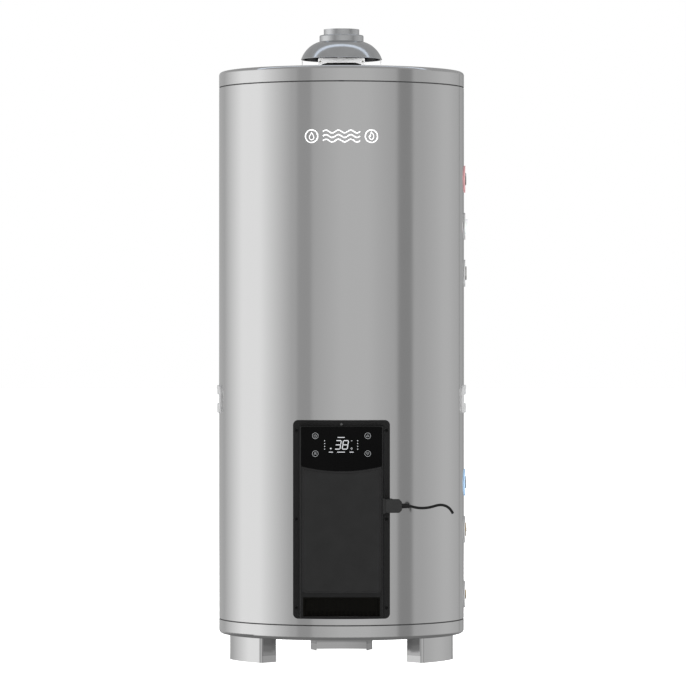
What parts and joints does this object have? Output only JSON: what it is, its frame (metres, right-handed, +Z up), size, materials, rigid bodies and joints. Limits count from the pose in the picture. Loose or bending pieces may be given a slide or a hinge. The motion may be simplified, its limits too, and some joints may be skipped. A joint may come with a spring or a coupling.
{
  "type": "tank water heater",
  "caption": "Upright gas storage water heater with a round sheet-steel casing, channel feet, draught hood, side pipe ports and a front control box with a touch display.",
  "frame": {"origin": "on the tank's axis at floor level, under the feet", "axes": "+Z up along the tank's axis, -Y the front with the control box, +X the side with the pipe ports"},
  "size_m": [0.511, 0.513, 1.281],
  "materials": {
    "casing_paint": "gloss",
    "cover_paint": "gloss",
    "seam_gasket": "matte",
    "foam": "matte",
    "tank_steel": "satin",
    "flue_steel": "matte",
    "baffle_steel": "matte",
    "diffuser_plastic": "matte",
    "anode_metal": "matte",
    "access_cap": "satin",
    "nipple_metal": "polished",
    "brass": "satin",
    "sensor_metal": "satin",
    "thermostat": "satin",
    "hot_rosette": "satin",
    "cold_rosette": "satin",
    "grey_rosette": "satin",
    "white_cap": "satin",
    "handle_plastic": "satin",
    "foot_paint": "satin",
    "zinc_bolt": "satin",
    "hood_steel": "satin",
    "bracket_steel": "satin",
    "frame_plastic": "satin",
    "black_screw": "matte",
    "light_lens": "gloss",
    "display_glass": "gloss",
    "circuit_board": "satin",
    "cover_plastic": "satin",
    "grille_plastic": "matte",
    "inlet_plastic": "matte",
    "connector_plastic": "satin",
    "cord_rubber": "satin",
    "chamber_steel": "matte",
    "galvanised": "satin",
    "burner_steel": "satin",
    "electrode": "satin",
    "valve_alloy": "satin",
    "coil": "satin",
    "plunger_steel": "satin",
    "gas_pipe": "satin"
  },
  "bodies": {
    "heater": {"outer_casing": "casing_paint", "top_cover": "cover_paint", "bottom_cover": "cover_paint", "seam_rings": "seam_gasket", "lid_clip": "black_screw", "insulation_foam": "foam", "top_insulation_pad": "foam", "tank_shell": "tank_steel", "tank_heads": "tank_steel", "flue_tube": "flue_steel", "flue_baffle": "baffle_steel", "cold_diffuser": "diffuser_plastic", "anode_rod": "anode_metal", "anode_cap": "access_cap", "sensor_well": "brass", "temperature_sensor": "sensor_metal", "limit_thermostat": "thermostat", "hot_outlet_nipple": "nipple_metal", "cold_inlet_nipple": "nipple_metal", "closed_port_nipples": "nipple_metal", "gas_inlet_nipple": "brass", "hot_rosette": "hot_rosette", "cold_rosette": "cold_rosette", "grey_rosettes": "grey_rosette", "spare_port_plug": "nipple_metal", "drain_valve": "brass", "left_handle": "handle_plastic", "right_handle": "handle_plastic", "front_left_foot": "foot_paint", "front_right_foot": "foot_paint", "rear_foot": "foot_paint", "foot_bolts": "zinc_bolt", "control_frame": "frame_plastic", "frame_screws": "black_screw", "status_light": "light_lens", "display_glass": "display_glass", "display_board": "circuit_board", "control_board": "circuit_board", "air_grille": "grille_plastic", "power_inlet": "inlet_plastic", "combustion_skirt": "chamber_steel", "base_air_plate": "galvanised", "burner_door": "chamber_steel", "burner": "burner_steel", "gas_injector": "brass", "burner_electrodes": "electrode", "gas_valve": "valve_alloy", "solenoid_coil": "coil", "gas_pipes": "gas_pipe"},
    "hood": {"hood_dome": "hood_steel", "hood_collar": "hood_steel", "hood_brackets": "bracket_steel"},
    "cover": {"service_cover": "cover_plastic"},
    "lead": {"power_connector": "connector_plastic", "strain_relief": "connector_plastic", "power_cord": "cord_rubber"},
    "cap": {"relief_cap": "white_cap"},
    "spindle": {"drain_spindle": "nipple_metal"},
    "shutter": {"air_shutter": "burner_steel"},
    "plunger": {"valve_plunger": "plunger_steel"}
  },
  "joints": [
    {"name": "hood_lift", "type": "slide", "parent": "heater", "child": "hood", "axis": [0, 0, 1], "range_m": [0, 0.06]},
    {"name": "cover_pull", "type": "slide", "parent": "heater", "child": "cover", "axis": [0, -1, 0], "range_m": [0, 0.05]},
    {"name": "connector_pull", "type": "slide", "parent": "heater", "child": "lead", "axis": [1, 0, 0], "range_m": [0, 0.03]},
    {"name": "cap_pull", "type": "slide", "parent": "heater", "child": "cap", "axis": [1, 0, 0], "range_m": [0, 0.02]},
    {"name": "drain_turn", "type": "hinge", "parent": "heater", "child": "spindle", "pos_m": [0.24, 0, 0.2605], "axis": [1, 0, 0], "range_deg": [0, 90]},
    {"name": "shutter_turn", "type": "hinge", "parent": "heater", "child": "shutter", "pos_m": [0, -0.2, 0.112], "axis": [0, 1, 0], "range_deg": [0, 60]},
    {"name": "plunger_travel", "type": "slide", "parent": "heater", "child": "plunger", "axis": [0, 0, 1], "range_m": [0, 0.003], "stiffness_N_per_m": 300, "springref_m": -0.002}
  ]
}
